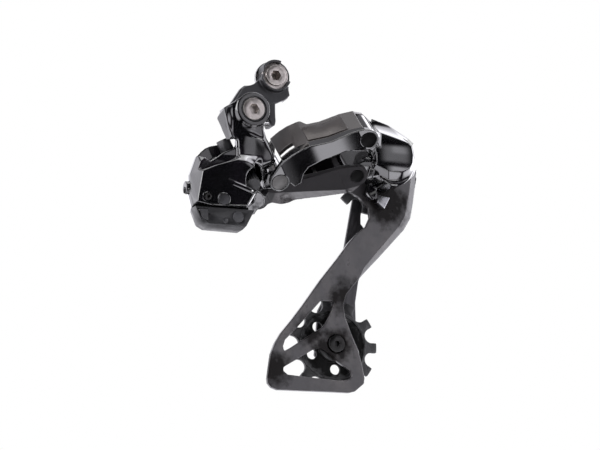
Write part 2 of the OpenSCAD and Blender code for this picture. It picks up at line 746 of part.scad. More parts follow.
module inner_plate() {
    color("dimgray") difference() {
        slab_y(inner_y, inner_y + inner_plate_t) polygon(inner_plate_outline);
        slab_y(10, 20) polygon([[56.4, -61.5], [55.6, -66], [55.6, -70.2], [57.6, -72.6], [60.6, -71.6],
            [63.6, -66], [64.6, -61.5]]);
        for (c = [guide_at, tension_at])
            rod_y(c, pulley_bolt_r + 0.02, 10, 20);
    }
}

module cage_stop() {
    color("silver") slab_y(-1.4, 3.45) polygon([[59.2, -57.4], [66.2, -58.4], [63, -64.6], [59.2, -61.4]]);
}

module guide_bolt() {
    color("gray") difference() {
        union() {
            rod_y(guide_at, pulley_bolt_r - 0.02, 5, 15.9);
            rod_y(guide_at, 4.2, 15.85, 17.8);
        }
        translate([guide_at[0], 18, guide_at[1]]) rotate([90, 0, 0]) hex_key(3, 2);
    }
}

module tension_bolt() {
    color("gray") difference() {
        union() {
            rod_y(tension_at, 4.4, 3, 5);
            rod_y(tension_at, pulley_bolt_r - 0.02, 4.9, 16);
        }
        translate([tension_at[0], 2.9, tension_at[1]]) rotate([-90, 0, 0]) hex_key(3, 2);
    }
}

// Inner race with its spacer, clamped between the plates
module inner_race(at) {
    color("silver") difference() {
        union() {
            rod_y(at, bearing_in_r, pulley_y - 2.2, pulley_y + 2.2);
            rod_y(at, 3.6, outer_in_y + 0.02, inner_y - 0.02);
        }
        rod_y(at, pulley_bolt_r, 0, 20);
        translate([at[0], pulley_y, at[1]]) rotate([90, 0, 0]) rotate_extrude()
            translate([bearing_in_r + 0.45, 0]) circle(0.82, $fn = 24);
    }
}

module outer_race(at) {
    color("silver") difference() {
        ring_y(at, bearing_out_r, 5.2, pulley_y - 2.2, pulley_y + 2.2);
        translate([at[0], pulley_y, at[1]]) rotate([90, 0, 0]) rotate_extrude()
            translate([bearing_in_r + 0.45, 0]) circle(0.82, $fn = 24);
    }
}

module race_balls(at) {
    color("white") for (i = [0:7])
        translate([at[0], pulley_y, at[1]]) rotate([0, i * 45, 0])
            translate([bearing_in_r + 0.45, 0, 0]) sphere(0.78, $fn = 24);
}

// Toothed jockey wheel: a thin web with round windows between rim and hub
module pulley(at, phase) {
    step = 360 / pulley_teeth;
    web_r = 16.8;
    windows = 5;
    color("dimgray") translate([at[0], pulley_y, at[1]]) rotate([90, 0, 0]) rotate(phase) difference() {
        union() {
            translate([0, 0, -tooth_w / 2]) linear_extrude(tooth_w) difference() {
                circle(tip_r);
                for (i = [0:pulley_teeth - 1])
                    rotate((i + 0.5) * step) {
                        translate([pitch_r, 0]) circle(3.84);
                        polygon([[pitch_r - 0.3, -3.83], [tip_r + 1, -4.9], [tip_r + 1, 4.9], [pitch_r - 0.3, 3.83]]);
                    }
            }
            translate([0, 0, -2.8]) cylinder(r = 9, h = 5.6);
            translate([0, 0, -2]) cylinder(r = web_r + 1.4, h = 4);
        }
        for (z = [1, -5])
            translate([0, 0, z]) difference() {
                cylinder(r = web_r, h = 4);
                cylinder(r = 9, h = 4);
            }
        for (i = [0:windows - 1])
            rotate(i * 72 - 12) translate([12.6, 0, -3]) cylinder(r = 2.7, h = 6);
        translate([0, 0, -5]) cylinder(r = bearing_out_r + 0.01, h = 10);
    }
}

module bearing_caps(at) {
    color("black") for (y = [pulley_y - 3.5, pulley_y + 2.9])
        ring_y(at, 8.6, 3.6 + 0.3, y, y + 0.6);
}

bracket_link();
mount_bolt();
mount_clip();
hanger_stop();
b_axle();
b_knuckle();
b_bush();
b_seal();
end_adjust_screw();
housing_cover();
cover_screws();
gear_case_lid();
motor();
motor_pinion();
circuit_board();
wire_port();
limit_screw();
front_plug();
rear_screw();
lower_cover();
port_flap();
flap_pin();
mode_button();
status_lens();
b_link_bushes();
return_spring();
outer_link();
outer_link_pins();
name_plate();
inner_link();
inner_link_pins();
drive_gear();
p_knuckle();
p_link_bushes();
p_bush();
p_spring();
p_seal();
bumper();
p_axle();
outer_plate();
inner_plate();
cage_stop();
guide_bolt();
tension_bolt();
inner_race(guide_at);  // guide_inner_race
inner_race(tension_at);  // tension_inner_race
pulley(guide_at, 228);  // guide_pulley
outer_race(guide_at);  // guide_outer_race
race_balls(guide_at);  // guide_balls
bearing_caps(guide_at);  // guide_caps
pulley(tension_at, 0);  // tension_pulley
outer_race(tension_at);  // tension_outer_race
race_balls(tension_at);  // tension_balls
bearing_caps(tension_at);  // tension_caps
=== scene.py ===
"""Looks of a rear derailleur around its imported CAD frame.

The frame is the CAD's: origin on the hanger bolt's axis at the hanger's face, X forward, Y inboard, Z up. Blender works
in metres; places and outlines below are in millimetres and are scaled by MM when a mesh is made.

The knuckles, links and outer cage plate are blended skins made from the CAD's solids (see shell). All other nodes keep
their CAD surface, with rounded edges.
"""
import json
import math

import bmesh
import bpy
import numpy as np
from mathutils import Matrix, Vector


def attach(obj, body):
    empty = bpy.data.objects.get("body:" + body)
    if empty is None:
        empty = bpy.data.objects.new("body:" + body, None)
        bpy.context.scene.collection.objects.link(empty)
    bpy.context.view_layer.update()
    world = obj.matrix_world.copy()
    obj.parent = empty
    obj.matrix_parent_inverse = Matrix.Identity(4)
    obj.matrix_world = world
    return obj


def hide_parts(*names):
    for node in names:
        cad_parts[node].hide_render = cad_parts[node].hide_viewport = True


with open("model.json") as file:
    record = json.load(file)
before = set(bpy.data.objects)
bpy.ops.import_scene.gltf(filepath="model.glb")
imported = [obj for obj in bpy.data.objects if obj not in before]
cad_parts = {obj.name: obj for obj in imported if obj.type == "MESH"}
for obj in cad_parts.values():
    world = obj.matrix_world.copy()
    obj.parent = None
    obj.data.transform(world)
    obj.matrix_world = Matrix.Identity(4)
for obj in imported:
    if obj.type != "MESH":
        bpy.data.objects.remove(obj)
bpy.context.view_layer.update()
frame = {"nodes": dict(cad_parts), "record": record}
NODES = frame["nodes"]
MM = 0.001

# The link pins lean LINK_TILT from Z. Around them: U is X, V runs down and inboard across the pins, W along them
LINK_TILT = math.radians(40)
SIN_TILT = math.sin(LINK_TILT)
COS_TILT = math.cos(LINK_TILT)
V_DIRECTION = (0, SIN_TILT, -COS_TILT)
W_DIRECTION = (0, COS_TILT, SIN_TILT)

# Pivots of the two links in (U, V). P1 and P3 carry the upper link, P2 and P4 the lower one
LINK_ANGLE = math.radians(-34)
LINK_LEN = 50.8
P1 = (1.9, 37.2)
P2 = (P1[0] - 3.3, P1[1] + 18.8)
P3 = (P1[0] + LINK_LEN * math.cos(LINK_ANGLE), P1[1] + LINK_LEN * math.sin(LINK_ANGLE))
P4 = (P3[0] - 3.3, P3[1] + 18.8)

# Axles across the part, in (X, Z)
B_AXLE = (-14.1, -20.4)
P_AXLE = (62.4, -45.8)
GUIDE_AXLE = (60.9, -41.6)
TENSION_AXLE = (37.9, -137)


# ---------------------------------------------------------------- materials

class Tree:
    """Builds nodes in a material's or world's node tree."""

    def __init__(self, tree):
        self.tree = tree

    def node(self, kind, **values):
        made = self.tree.nodes.new(kind)
        for key, value in values.items():
            setattr(made, key, value)
        return made

    def link(self, a, b):
        self.tree.links.new(a, b)

    def feed(self, socket, value):
        """Sets a socket from another socket or from a plain value."""
        if isinstance(value, bpy.types.NodeSocket):
            self.link(value, socket)
        else:
            socket.default_value = value

    def maths(self, operation, a, b):
        made = self.node("ShaderNodeMath", operation=operation)
        self.feed(made.inputs[0], a)
        self.feed(made.inputs[1], b)
        return made.outputs[0]

    def vector_maths(self, operation, a, b):
        made = self.node("ShaderNodeVectorMath", operation=operation)
        self.feed(made.inputs[0], a)
        self.feed(made.inputs[1], b)
        return made.outputs["Value"]

    def ramp(self, value, low, high, a, b, interpolation="LINEAR"):
        """Maps value from low..high to a..b, clamped."""
        made = self.node("ShaderNodeMapRange", interpolation_type=interpolation)
        self.link(value, made.inputs["Value"])
        for key, number in zip(("From Min", "From Max", "To Min", "To Max"), (low, high, a, b)):
            made.inputs[key].default_value = number
        return made.outputs["Result"]


class Shader(Tree):
    """A node material built step by step around one Principled shader."""

    def __init__(self, name, color, metallic=0.0, rough=0.4, coat=0.0, coat_rough=0.05):
        self.mat = bpy.data.materials.new(name)
        self.mat.use_nodes = True
        super().__init__(self.mat.node_tree)
        self.bsdf = self.tree.nodes["Principled BSDF"]
        self.bsdf.inputs["Base Color"].default_value = (*color, 1)
        self.bsdf.inputs["Metallic"].default_value = metallic
        self.bsdf.inputs["Roughness"].default_value = rough
        self.bsdf.inputs["Coat Weight"].default_value = coat
        self.bsdf.inputs["Coat Roughness"].default_value = coat_rough
        self.rough = rough
        self.coords = self.node("ShaderNodeTexCoord").outputs["Object"]

    def noise(self, scale, detail=4.0, stretch=None):
        tex = self.node("ShaderNodeTexNoise")
        tex.inputs["Scale"].default_value = scale
        tex.inputs["Detail"].default_value = detail
        tex.inputs["Roughness"].default_value = 0.55
        source = self.coords
        if stretch:
            mapping = self.node("ShaderNodeMapping")
            mapping.inputs["Scale"].default_value = stretch
            self.link(source, mapping.inputs["Vector"])
            source = mapping.outputs["Vector"]
        self.link(source, tex.inputs["Vector"])
        return tex.outputs["Fac"]

    def drive(self, name, mask, a, b):
        """Sets a shader input to a where mask is 0 and b where it is 1."""
        self.link(self.ramp(mask, 0, 1, a, b), self.bsdf.inputs[name])

    def vary_rough(self, scale, spread):
        """Uneven gloss: roughness drifts by spread either way."""
        level = self.ramp(self.noise(scale), 0.3, 0.7, max(0.02, self.rough - spread), self.rough + spread)
        self.link(level, self.bsdf.inputs["Roughness"])

    def mix_color(self, fac, other):
        """Mixes the colour so far towards other by fac."""
        mix = self.node("ShaderNodeMix", data_type="RGBA")
        target = self.bsdf.inputs["Base Color"]
        if target.is_linked:
            self.link(target.links[0].from_socket, mix.inputs["A"])
        else:
            mix.inputs["A"].default_value = target.default_value
        mix.inputs["B"].default_value = (*other, 1)
        self.link(fac, mix.inputs["Factor"])
        self.link(mix.outputs["Result"], target)

    def mottle(self, scale, other, low=0.4, high=0.7, amount=1.0, stretch=None):
        self.mix_color(self.ramp(self.noise(scale, stretch=stretch), low, high, 0, amount), other)

    def along(self, direction):
        """How far a place lies along a direction, in metres."""
        return self.vector_maths("DOT_PRODUCT", self.coords, direction)

    def cloud(self, places, width):
        """Ragged mask that is 1 within the radius of any place; places hold (centre, radius) in millimetres."""
        nearest = None
        for centre, radius in places:
            reach = self.vector_maths("DISTANCE", self.coords, Vector(centre) * MM)
            over = self.maths("SUBTRACT", reach, radius * MM)
            nearest = self.maths("MINIMUM", nearest, over) if nearest else over
        ragged = self.ramp(self.noise(230), 0.3, 0.7, -0.003, 0.003)
        return self.ramp(self.maths("ADD", nearest, ragged), 0, width * MM, 1, 0)

    def bump(self, scale, distance, strength):
        """Fine relief of the given depth in metres."""
        made = self.node("ShaderNodeBump")
        made.inputs["Strength"].default_value = strength
        made.inputs["Distance"].default_value = distance
        self.link(self.noise(scale, detail=3.0), made.inputs["Height"])
        self.link(made.outputs["Normal"], self.bsdf.inputs["Normal"])

    def edge_wear(self, radius, color, amount):
        """Paler rubbed edges, found with a bevel lookup and broken up by noise. Gives the finished material."""
        bevel = self.node("ShaderNodeBevel", samples=4)
        bevel.inputs["Radius"].default_value = radius
        geometry = self.node("ShaderNodeNewGeometry")
        same_way = self.vector_maths("DOT_PRODUCT", bevel.outputs["Normal"], geometry.outputs["Normal"])
        edge = self.ramp(same_way, 0.995, 0.9, 0, 1)
        breakup = self.ramp(self.noise(900), 0.42, 0.62, 0.15, 1)
        self.mix_color(self.ramp(self.maths("MULTIPLY", edge, breakup), 0, 1, 0, amount), color)
        return self.mat

    def anisotropy(self, amount):
        """Turning marks around the Y axis."""
        self.bsdf.inputs["Anisotropic"].default_value = amount
        tangent = self.node("ShaderNodeTangent", direction_type="RADIAL", axis="Y")
        self.link(tangent.outputs["Tangent"], self.bsdf.inputs["Tangent"])


GLOSS = (0.003, 0.003, 0.0035)
GLOSS_MOTTLE = (0.006, 0.005, 0.007)


def gloss_black():
    s = Shader("gloss_black", GLOSS, rough=0.12, coat=1.0, coat_rough=0.03)
    s.mottle(70, GLOSS_MOTTLE, 0.45, 0.75)
    s.vary_rough(160, 0.05)
    s.bump(160, 0.00002, 0.06)
    return s.edge_wear(0.00025, (0.03, 0.03, 0.033), 0.2)


def knuckle_black():
    """Gloss black of the knuckle, duller where it curls round the lower pivot."""
    s = Shader("knuckle_black", GLOSS, rough=0.12, coat=1.0, coat_rough=0.03)
    s.mottle(70, GLOSS_MOTTLE, 0.45, 0.75)
    dull = s.cloud([((-3, 5, -62), 8), ((-3, 15, -62), 9), ((-9, -2, -66), 4)], 2.5)
    s.mix_color(dull, (0.010, 0.010, 0.011))
    s.drive("Coat Weight", dull, 1.0, 0.15)
    s.drive("Specular IOR Level", dull, 0.5, 0.2)
    s.vary_rough(160, 0.05)
    s.bump(160, 0.00002, 0.06)
    return s.edge_wear(0.00025, (0.06, 0.06, 0.065), 0.3)


def satin(name, color, rough=0.36, paler=(0.16, 0.155, 0.15), metallic=0.75):
    """Blasted and anodized metal."""
    s = Shader(name, color, metallic=metallic, rough=rough)
    s.mottle(110, tuple(c * 1.35 for c in color), 0.4, 0.75)
    s.vary_rough(240, 0.07)
    s.bump(1900, 0.00002, 0.25)
    return s.edge_wear(0.0003, paler, 0.45)


def turned(name, color, rough=0.28, wear=(0.6, 0.57, 0.53)):
    """Lathe-turned metal."""
    s = Shader(name, color, metallic=1.0, rough=rough)
    s.mottle(300, tuple(c * 0.72 for c in color), 0.4, 0.8)
    s.vary_rough(500, 0.06)
    s.anisotropy(0.35)
    s.bump(2600, 0.000012, 0.2)
    return s.edge_wear(0.0002, wear, 0.5)


def moulded(name, color, rough=0.5, depth=0.00004):
    """Moulded plastic or rubber with a fine eroded texture."""
    s = Shader(name, color, rough=rough)
    s.mottle(180, tuple(c * 1.5 for c in color), 0.45, 0.8)
    s.vary_rough(300, 0.08)
    s.bump(3200, depth, 0.35)
    return s.edge_wear(0.0003, tuple(min(1, c * 3 + 0.02) for c in color), 0.4)


def carbon():
    """Dark satin composite: faint marbling under a clear coat, with painted shade in patches round the tension pulley's
    hub, along the cage and by the cage axle.
    """
    s = Shader("cage_carbon", (0.038, 0.036, 0.039), rough=0.36, coat=0.6, coat_rough=0.16)
    s.mottle(95, (0.060, 0.055, 0.055), 0.46, 0.7, 0.9, stretch=(1, 1, 0.55))
    s.mottle(260, (0.030, 0.028, 0.030), 0.5, 0.72, 0.8)
    # painted shade: near-black patches with little coat or sheen where the plate lies in shade
    dark = s.cloud([((37.9, 4, -137), 5), ((43.5, 4, -112), 5), ((24, 4, -131), 4), ((3, 4, -152), 5),
                    ((66, 4, -60), 8), ((33, 4, -141), 5)], 7)
    s.mix_color(dark, (0.006, 0.005, 0.005))
    s.drive("Coat Weight", dark, 0.6, 0.08)
    s.drive("Specular IOR Level", dark, 0.5, 0.12)
    s.vary_rough(130, 0.09)
    s.bump(1500, 0.00003, 0.2)
    return s.edge_wear(0.0003, (0.11, 0.11, 0.115), 0.5)


def pulley_resin():
    """Moulded black of the pulleys, with painted shade deepest in the recess between rim and hub."""
    s = Shader("pulley_resin", (0.022, 0.022, 0.023), rough=0.46)
    s.mottle(180, (0.033, 0.033, 0.034), 0.45, 0.8)
    # painted shade: the recess between rim and hub is darkened and given less sheen
    recess = s.cloud([((x, 10, z), 15.5) for x, z in (TENSION_AXLE, GUIDE_AXLE)], 2)
    s.mix_color(recess, (0.004, 0.004, 0.004))
    s.drive("Specular IOR Level", recess, 0.5, 0.15)
    s.vary_rough(300, 0.08)
    s.bump(3200, 0.00005, 0.35)
    return s.edge_wear(0.0003, (0.09, 0.09, 0.09), 0.4)


def link_black():
    """Gloss black of the upper link's arm, turning to brown-black satin on the web behind it."""
    s = Shader("link_black", GLOSS, rough=0.14, coat=1.0, coat_rough=0.03)
    behind = s.ramp(s.along(W_DIRECTION), -0.0412, -0.0408, 0, 1)
    s.mix_color(behind, (0.030, 0.026, 0.025))
    s.drive("Coat Weight", behind, 1.0, 0.12)
    s.mottle(70, (0.012, 0.011, 0.012), 0.5, 0.8, 0.5)
    drift = s.ramp(s.noise(160), 0.3, 0.7, -0.02, 0.02)
    s.link(s.maths("ADD", s.ramp(behind, 0, 1, 0.09, 0.36), drift), s.bsdf.inputs["Roughness"])
    s.bump(900, 0.00002, 0.12)
    return s.edge_wear(0.00025, (0.10, 0.095, 0.09), 0.4)


# Where the lower link's flat meets its wide lower bevel, in metres along FOLD_DIRECTION: the flat lies beyond it
FOLD_DIRECTION = (-0.3984, -0.6026, 0.7182)
FOLD_AT = (-0.0484, -0.0478)


def link_satin():
    """Dark satin of the lower link, gloss black at its driven end, with painted shade making the flat above its bevel
    darker.
    """
    s = Shader("satin_link", (0.040, 0.037, 0.038), metallic=0.4, rough=0.38, coat_rough=0.15)
    s.mottle(110, (0.060, 0.056, 0.057), 0.4, 0.75)
    rear = s.ramp(s.along((1, 0, 0)), 0.0048, 0.0056, 1, 0)
    s.mix_color(rear, (0.004, 0.004, 0.0045))
    # painted shade: the flat above the bevel is darker and has less sheen than the bevel that faces down
    flat = s.ramp(s.along(FOLD_DIRECTION), *FOLD_AT, 0, 1)
    s.mix_color(flat, (0.012, 0.011, 0.012))
    s.drive("Specular IOR Level", flat, 0.5, 0.16)
    s.drive("Coat Weight", flat, 0.25, 0.02)
    s.vary_rough(240, 0.07)
    s.bump(1900, 0.00002, 0.25)
    return s.edge_wear(0.0003, (0.16, 0.155, 0.15), 0.45)


def link_pin():
    """Pin heads: grey at the rear of the links, near black at their forward ends."""
    s = Shader("pin_steel", (0.10, 0.098, 0.096), metallic=1.0, rough=0.36)
    split = s.node("ShaderNodeSeparateXYZ")
    s.link(s.coords, split.inputs[0])
    s.mix_color(s.ramp(split.outputs["X"], 0.018, 0.022, 0, 1), (0.006, 0.006, 0.006))
    # bright rolled eyelet on the lower pivot
    flat = s.node("ShaderNodeCombineXYZ")
    s.link(split.outputs["X"], flat.inputs[0])
    s.link(s.along(V_DIRECTION), flat.inputs[1])
    reach = s.vector_maths("DISTANCE", flat.outputs[0], (P2[0] * MM, P2[1] * MM, 0))
    s.mix_color(s.ramp(reach, 0.00215, 0.00205, 0, 1), (0.55, 0.55, 0.57))
    s.mix_color(s.ramp(reach, 0.0012, 0.0011, 0, 1), (0.004, 0.004, 0.004))
    s.vary_rough(500, 0.06)
    s.bump(2600, 0.000012, 0.2)
    return s.edge_wear(0.0002, (0.2, 0.2, 0.2), 0.5)


MATERIALS = {
    "gloss_black": gloss_black(),
    "knuckle_black": knuckle_black(),
    "satin_alloy": satin("satin_alloy", (0.050, 0.050, 0.053)),
    "satin_link": link_satin(),
    "link_black": link_black(),
    "brown_satin": satin("brown_satin", (0.034, 0.029, 0.027), rough=0.34, metallic=0.5),
    "bolt_titanium": turned("bolt_titanium", (0.55, 0.51, 0.49), rough=0.36),
    "steel": turned("steel", (0.45, 0.45, 0.45)),
    "gear_steel": turned("gear_steel", (0.42, 0.39, 0.33)),
    "dark_steel": turned("dark_steel", (0.045, 0.044, 0.044), rough=0.33, wear=(0.2, 0.2, 0.2)),
    "pin_steel": link_pin(),
    "spring_steel": turned("spring_steel", (0.13, 0.13, 0.135), rough=0.3),
    "ball_steel": turned("ball_steel", (0.75, 0.75, 0.75), rough=0.1),
    "bronze": turned("bronze", (0.46, 0.29, 0.12), rough=0.4, wear=(0.6, 0.42, 0.2)),
    "seal_rubber": moulded("seal_rubber", (0.010, 0.010, 0.010), rough=0.6),
    "flap_rubber": moulded("flap_rubber", (0.024, 0.024, 0.026), rough=0.55),
    "button_rubber": moulded("button_rubber", (0.034, 0.034, 0.037), rough=0.5),
    "cover_plastic": moulded("cover_plastic", (0.010, 0.010, 0.011), rough=0.36, depth=0.00006),
    "black_plastic": moulded("black_plastic", (0.010, 0.010, 0.011), rough=0.4),
    "board": moulded("board", (0.010, 0.07, 0.03), rough=0.3),
    "lens": moulded("lens", (0.03, 0.03, 0.032), rough=0.18),
    "cage_carbon": carbon(),
    "cage_alloy": satin("cage_alloy", (0.060, 0.058, 0.062), rough=0.38),
    "bright_alloy": satin("bright_alloy", (0.36, 0.36, 0.38), rough=0.3, paler=(0.8, 0.8, 0.8), metallic=1.0),
    "pulley_resin": pulley_resin(),
    "cap_alloy": satin("cap_alloy", (0.040, 0.040, 0.042), rough=0.32),
}


def paint(obj, slot_name):
    obj.data.materials.clear()
    obj.data.materials.append(MATERIALS[slot_name])


# ---------------------------------------------------------------- CAD nodes

SLOT_OF = {part["node"]: part["material_slot"] for part in frame["record"]["subparts"]}
SHARP_ANGLE = math.radians(32)
BEVEL_WIDTH = {"outer_plate": 0.5, "inner_plate": 0.35, "bracket_link": 0.45, "guide_pulley": 0.22,
               "tension_pulley": 0.22, "mount_bolt": 0.25, "b_axle": 0.25, "cage_stop": 0.3}


def dress(obj, width):
    """Clean flat faces, small rounded edges and smooth round walls, as modifiers on the fixed mesh."""
    for face in obj.data.polygons:
        face.use_smooth = True
    weld = obj.modifiers.new("weld", "WELD")
    weld.merge_threshold = 2e-6
    flat = obj.modifiers.new("flat", "DECIMATE")
    flat.decimate_type = "DISSOLVE"
    flat.angle_limit = math.radians(0.6)
    bevel = obj.modifiers.new("bevel", "BEVEL")
    bevel.width = width
    bevel.segments = 2
    bevel.limit_method = "ANGLE"
    bevel.angle_limit = SHARP_ANGLE
    bevel.harden_normals = True
    bevel.use_clamp_overlap = True


for name, node in NODES.items():
    paint(node, SLOT_OF[name])
    dress(node, BEVEL_WIDTH.get(name, 0.12) * MM)


# ---------------------------------------------------------------- shell building

def pin_point(u, v, w):
    """The place (x, y, z) of a point given across and along the link pins."""
    return (u, SIN_TILT * v + COS_TILT * w, -COS_TILT * v + SIN_TILT * w)


def link_place(x, y, z, pin):
    """Where a place lies on a link: s along it from its pin, t across it downwards, w along the pin."""
    u = x - pin[0]
    v = SIN_TILT * y - COS_TILT * z - pin[1]
    s = u * math.cos(LINK_ANGLE) + v * math.sin(LINK_ANGLE)
    t = -u * math.sin(LINK_ANGLE) + v * math.cos(LINK_ANGLE)
    return s, t, COS_TILT * y + SIN_TILT * z


def push_along_pins(vertex, distance):
    vertex.co += Vector(W_DIRECTION) * (distance * MM)


def at_y(points, y):
    return [(x, y, z) for x, z in points]


def circle(centre, r, steps=36):
    return [(centre[0] + r * math.cos(a), centre[1] + r * math.sin(a))
            for a in (math.tau * i / steps for i in range(steps))]


def disc_y(centre, r, y, steps=36):
    return at_y(circle(centre, r, steps), y)


def disc_pin(centre, r, w, steps=36):
    return [pin_point(u, v, w) for u, v in circle(centre, r, steps)]


def new_object(name, built):
    mesh = bpy.data.meshes.new(name)
    built.to_mesh(mesh)
    built.free()
    obj = bpy.data.objects.new(name, mesh)
    bpy.context.scene.collection.objects.link(obj)
    return obj


def hull(*loops):
    """Convex solid around loops of points in millimetres."""
    built = bmesh.new()
    for loop in loops:
        for point in loop:
            built.verts.new(Vector(point) * MM)
    result = bmesh.ops.convex_hull(built, input=built.verts)
    spare = {e for e in result["geom_interior"] + result["geom_unused"] if isinstance(e, bmesh.types.BMVert)}
    bmesh.ops.delete(built, geom=list(spare), context="VERTS")
    bmesh.ops.recalc_face_normals(built, faces=built.faces)
    return new_object("solid", built)


def loft(*loops):
    """Solid skinned through loops of equal length, which may be concave."""
    built = bmesh.new()
    rings = [[built.verts.new(Vector(p) * MM) for p in loop] for loop in loops]
    count = len(rings[0])
    for low, high in zip(rings, rings[1:]):
        for i in range(count):
            built.faces.new((low[i], low[(i + 1) % count], high[(i + 1) % count], high[i]))
    built.faces.new(rings[0][::-1])
    built.faces.new(rings[-1])
    bmesh.ops.recalc_face_normals(built, faces=built.faces)
    return new_object("solid", built)


def rod_y(centre, r, y0, y1, steps=48):
    return loft(disc_y(centre, r, y0, steps), disc_y(centre, r, y1, steps))


def rod_pin(centre, r, w0, w1, steps=48):
    return loft(disc_pin(centre, r, w0, steps), disc_pin(centre, r, w1, steps))


def box_pin(u, v, w):
    corners = [(u[0], v[0]), (u[1], v[0]), (u[1], v[1]), (u[0], v[1])]
    return loft([pin_point(a, b, w[0]) for a, b in corners], [pin_point(a, b, w[1]) for a, b in corners])


def slab(outline, y0, y1):
    return loft(at_y(outline, y0), at_y(outline, y1))


def node_copy(name):
    """The CAD node's own surface, welded shut, as a start for a finer one."""
    source = NODES[name]
    built = bmesh.new()
    built.from_mesh(source.data)
    bmesh.ops.transform(built, matrix=source.matrix_world, verts=built.verts)
    bmesh.ops.remove_doubles(built, verts=built.verts, dist=2e-6)
    return new_object("solid", built)


def settle(obj):
    """Applies an object's modifiers."""
    deps = bpy.context.evaluated_depsgraph_get()
    mesh = bpy.data.meshes.new_from_object(obj.evaluated_get(deps))
    obj.modifiers.clear()
    obj.data = mesh
    return obj


def drop(*objs):
    for obj in objs:
        bpy.data.objects.remove(obj)


def cut(obj, *cutters):
    for cutter in cutters:
        made = obj.modifiers.new("cut", "BOOLEAN")
        made.operation = "DIFFERENCE"
        made.solver = "EXACT"
        made.object = cutter
    return settle(obj)


def joined(solids):
    built = bmesh.new()
    for solid in solids:
        built.from_mesh(solid.data)
    return new_object("solid", built)


def shell(name, adds, cuts=(), voxel=0.3, smooth=6, slot_name="gloss_black", material=None, shape=None):
    """One blended skin over solids: cut, joined, remeshed finely and relaxed so that every edge is rounded."""
    if cuts:
        for solid in adds:
            cut(solid, *cuts)
    obj = joined(adds)
    drop(*adds, *cuts)
    obj.name = name
    remesh = obj.modifiers.new("remesh", "REMESH")
    remesh.mode = "VOXEL"
    remesh.voxel_size = voxel * MM
    relax = obj.modifiers.new("relax", "SMOOTH")
    relax.factor = 0.5
    relax.iterations = smooth
    settle(obj)
    if shape:
        shape(obj)
    for face in obj.data.polygons:
        face.use_smooth = True
    obj.data.materials.clear()
    obj.data.materials.append(MATERIALS[material or slot_name])
    return obj


def relax_zone(obj, weight, iterations):
    """Melts facets together where weight(x, y, z) of a place in millimetres is above 0."""
    group = obj.vertex_groups.new(name="zone")
    for vertex in obj.data.vertices:
        amount = weight(*(vertex.co / MM))
        if amount > 0.02:
            group.add([vertex.index], amount, "REPLACE")
    relax = obj.modifiers.new("melt", "SMOOTH")
    relax.factor = 0.5
    relax.iterations = iterations
    relax.vertex_group = "zone"
    settle(obj)
    obj.vertex_groups.clear()


def fade(value, low, high):
    """Smooth step from 0 at low to 1 at high."""
    t = min(1.0, max(0.0, (value - low) / (high - low)))
    return t * t * (3 - 2 * t)


def stand_for(obj, body, *nodes):
    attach(obj, body)
    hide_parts(*nodes)
    return obj


# ---------------------------------------------------------------- P-knuckle

# Ends of the links' arms and ears along the pins
ARM_W = -44.3
ARM_IN_W = -41.3
EAR3_W = -25
LOW4_END = -46.3
LOW4_INNER_W = -29.5


def p_knuckle_shell():
    front = [(52.6, -28.4), (61.2, -31.0), (68.4, -33.0), (70.6, -35.2), (71.2, -39.5), (70.8, -43.8),
             (69.2, -47), (65.2, -49.6), (57.2, -49.6), (49, -46)]
    widest = [(50.2, -20.4), (59.7, -23.2), (70.3, -29.2), (74, -32.2), (74.8, -37), (75, -42.1),
              (75.2, -45), (73.8, -49.1), (70.6, -52.2), (66.1, -54.7), (60, -55.4), (52, -52)]
    back = [(52, -24), (60, -26), (69, -31), (72, -36), (72.4, -46), (70, -51), (62, -55.8), (54, -52)]
    adds = [
        hull(at_y(front, -22.2), at_y(widest, -16.5), at_y(back, -2)),
        hull(disc_pin(P3, 5, ARM_IN_W + 0.3), disc_pin(P3, 5, EAR3_W - 0.3),
             at_y([(53, -27), (58, -30), (56, -42)], -18), at_y([(53, -27), (58, -40)], -6)),
        hull(disc_pin(P4, 4.9, LOW4_END + 0.3), disc_pin(P4, 4.9, LOW4_INNER_W - 0.3),
             disc_y((58, -44), 6, -20), disc_y((58, -44), 6, -4)),
        rod_y(P_AXLE, 10, -19, 3),
        slab([(55, -50), (52.6, -57), (55.6, -60.4), (58, -60.2), (58, -55)], -3, 2.9),
    ]
    cuts = [
        box_pin((0, P3[0] + 6.5), (-30, P3[1] + 12.5), (-80, ARM_IN_W + 0.15)),
        box_pin((0, P3[0] + 5.8), (-30, P3[1] + 8), (EAR3_W - 0.25, 5)),
        box_pin((0, P4[0] + 6.6), (-30, 90), (-80, LOW4_END + 0.15)),
        box_pin((0, P4[0] + 6.4), (P4[1] - 6.2, 70), (LOW4_INNER_W - 0.25, 5)),
        rod_y(P_AXLE, 6.6, -15, 4),
    ]
    return stand_for(shell("p_knuckle_body", adds, cuts, voxel=0.3, smooth=7, shape=shape_bulb),
                     "p_knuckle", "p_knuckle")


def bulb_zone(x, y, z):
    """The bulb's lower edge, clear of the cage axle's bore and of the lower link's ear."""
    return fade(x, 59.5, 61.5) * fade(z, -47.5, -49.5) * fade(y, -3, -5)


def shape_bulb(obj):
    relax_zone(obj, bulb_zone, 20)
    crown_bulb(obj)


def crown_bulb(obj):
    """Domes the bulb's outboard face."""
    for vertex in obj.data.vertices:
        x, y, z = vertex.co / MM
        reach = fade(y, -15, -21.5)
        if reach > 0 and x > 50:
            vertex.co.y += reach * (0.8 * ((x - 58) / 12) ** 2 + 1.3 * ((z + 42) / 10) ** 2 - 0.8) * MM


# ---------------------------------------------------------------- B-knuckle

